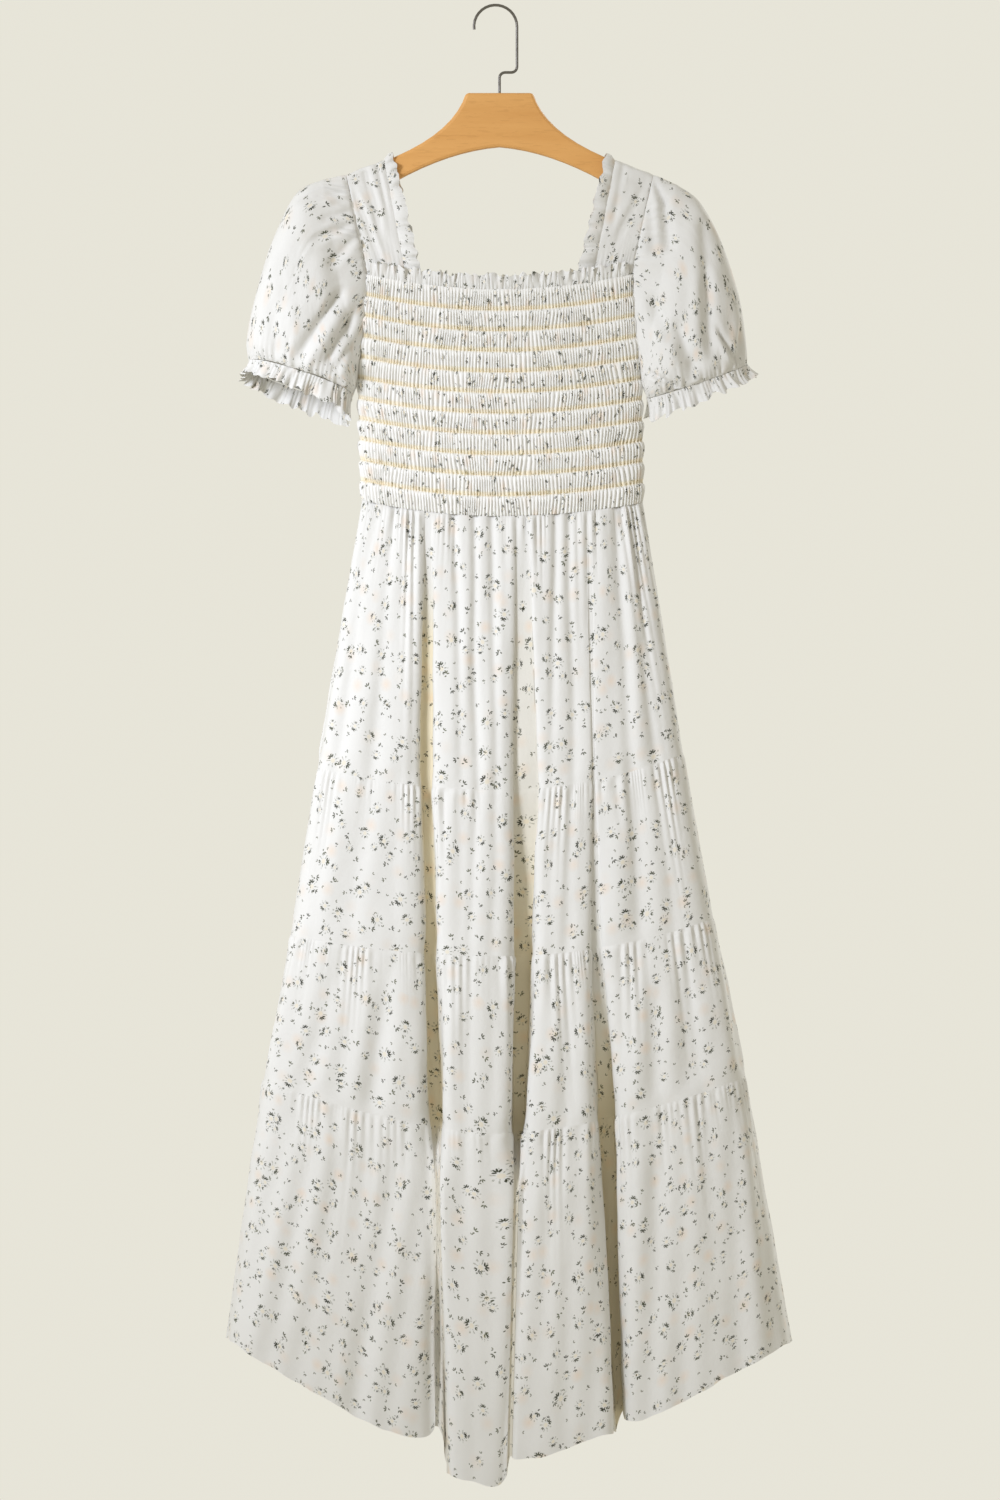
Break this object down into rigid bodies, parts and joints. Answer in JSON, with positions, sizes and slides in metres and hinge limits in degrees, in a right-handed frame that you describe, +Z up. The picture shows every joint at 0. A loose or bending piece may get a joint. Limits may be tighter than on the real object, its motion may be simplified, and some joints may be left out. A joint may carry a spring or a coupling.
{
  "type": "smocked maxi dress on a wooden hanger",
  "caption": "Ditsy-floral smocked maxi dress with puff sleeves, on a wooden hanger with a wire hook.",
  "frame": {"origin": "inner top of the hanger's hook, where a rail carries it", "axes": "+Z up, the dress faces -Y, +X to the right as seen from the front"},
  "size_m": [0.562, 0.1429, 1.4771],
  "materials": {
    "printed_cotton": "matte",
    "beech": "satin",
    "polished_wire": "polished"
  },
  "bodies": {
    "root": {"bodice_front": "printed_cotton", "bodice_back": "printed_cotton", "neck_ruffle_front": "printed_cotton", "neck_ruffle_back": "printed_cotton", "strap_left": "printed_cotton", "strap_ruffle_left": "printed_cotton", "sleeve_left": "printed_cotton", "cuff_ruffle_left": "printed_cotton", "strap_right": "printed_cotton", "strap_ruffle_right": "printed_cotton", "sleeve_right": "printed_cotton", "cuff_ruffle_right": "printed_cotton", "skirt_tier1_front": "printed_cotton", "skirt_tier1_back": "printed_cotton", "skirt_tier2_front": "printed_cotton", "skirt_tier2_back": "printed_cotton", "skirt_tier3_front": "printed_cotton", "skirt_tier3_back": "printed_cotton", "skirt_tier4_front": "printed_cotton", "skirt_tier4_back": "printed_cotton", "hanger_bar": "beech", "hanger_hook": "polished_wire"}
  },
  "joints": []
}
